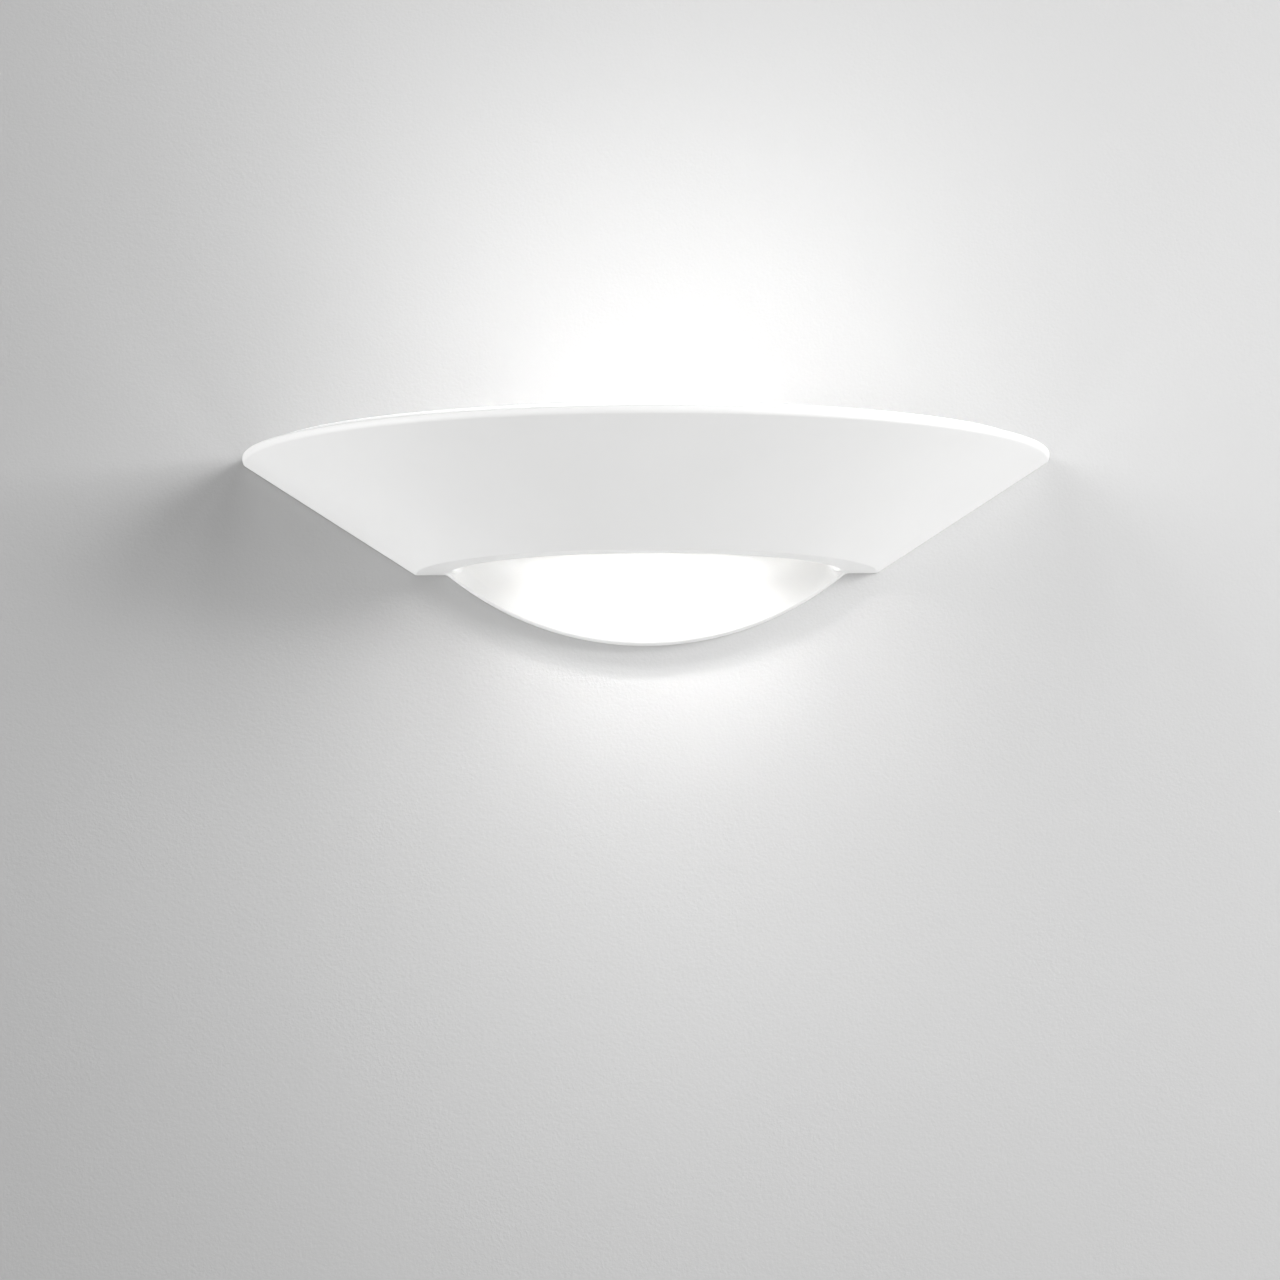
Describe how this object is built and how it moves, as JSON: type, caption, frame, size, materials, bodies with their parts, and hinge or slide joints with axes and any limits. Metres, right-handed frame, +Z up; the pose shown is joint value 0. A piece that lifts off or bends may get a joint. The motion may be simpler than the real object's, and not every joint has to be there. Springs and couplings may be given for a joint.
{
  "type": "uplighter wall sconce",
  "caption": "Half-round white ceramic wall uplighter with a flared bowl, open underside, hanging back tongue, glass cover and double-ended lamp on a wall plate.",
  "frame": {"origin": "on the wall plane, midway between the two fixing slots of the wall plate", "axes": "+Z up; +Y into the wall; -Y is the front, towards the room; +X to the right as seen from the room"},
  "size_m": [0.35, 0.175, 0.085],
  "materials": {
    "ceramic_white": "matt white slip-cast ceramic",
    "clear_glass": "clear tempered glass, ground edge",
    "silicone": "soft translucent silicone",
    "silicone_sleeve": "matt woven silicone sleeve",
    "zinc_steel": "zinc-plated sheet steel",
    "black_rubber": "matt black rubber",
    "bright_steel": "zinc-plated steel fastener",
    "fibre": "red vulcanised fibre",
    "brass": "turned brass",
    "polished_aluminium": "bright anodised sheet",
    "aluminium": "plain aluminium rivet",
    "steatite": "unglazed steatite",
    "silver_contact": "nickel-silver contact",
    "spring_steel": "stainless spring wire",
    "quartz": "clear quartz",
    "tungsten": "tungsten wire",
    "terminal_plastic": "natural polyamide",
    "tinned_copper": "tin-plated copper",
    "brown_wire": "brown insulation",
    "blue_wire": "blue insulation",
    "earth_wire_green": "green and yellow insulation",
    "glowing_filament": "lit tungsten coil"
  },
  "bodies": {
    "fixture": {"bowl_body": "ceramic_white", "glass_pads": "silicone", "wall_plate": "zinc_steel", "cable_grommet": "black_rubber", "fixing_studs": "bright_steel", "stud_washers": "fibre", "knurled_nuts": "brass", "bracket_spacers": "bright_steel", "lamp_bracket": "zinc_steel", "bracket_screws": "bright_steel", "bracket_washers": "bright_steel", "reflector": "polished_aluminium", "reflector_rivets": "aluminium", "lampholder_left": "steatite", "lampholder_right": "steatite", "holder_screws": "bright_steel", "holder_nuts": "bright_steel", "fixed_contact": "brass", "contact_barrel": "brass", "contact_spring": "spring_steel", "contact_sleeves": "silicone_sleeve", "terminal_block": "terminal_plastic", "terminal_tubes": "brass", "terminal_screws": "bright_steel", "terminal_fixings": "bright_steel", "earth_lug": "tinned_copper", "earth_washer": "bright_steel", "earth_screw": "bright_steel", "live_wire": "brown_wire", "neutral_wire": "blue_wire", "earth_wire": "earth_wire_green"},
    "cover": {"glass_cover": "clear_glass"},
    "lamp": {"lamp_tube": "quartz", "lamp_caps": "steatite", "lamp_contacts": "silver_contact", "lamp_filament": "glowing_filament", "filament_supports": "tungsten"},
    "contact": {"sprung_contact": "silver_contact"}
  },
  "joints": [
    {"name": "cover_lift", "type": "slide", "parent": "fixture", "child": "cover", "axis": [0, 0, 1], "range_m": [0, 0.06]},
    {"name": "lamp_push", "type": "slide", "parent": "fixture", "child": "lamp", "axis": [1, 0, 0], "range_m": [0, 0.003], "stiffness_N_per_m": 2000, "springref_m": -0.004},
    {"name": "contact_push", "type": "slide", "parent": "fixture", "child": "contact", "axis": [1, 0, 0], "range_m": [0, 0.003], "deforming": ["contact_spring"]}
  ],
  "couplings": [
    {"joint": "contact_push", "follows": "lamp_push", "ratio": 1}
  ]
}
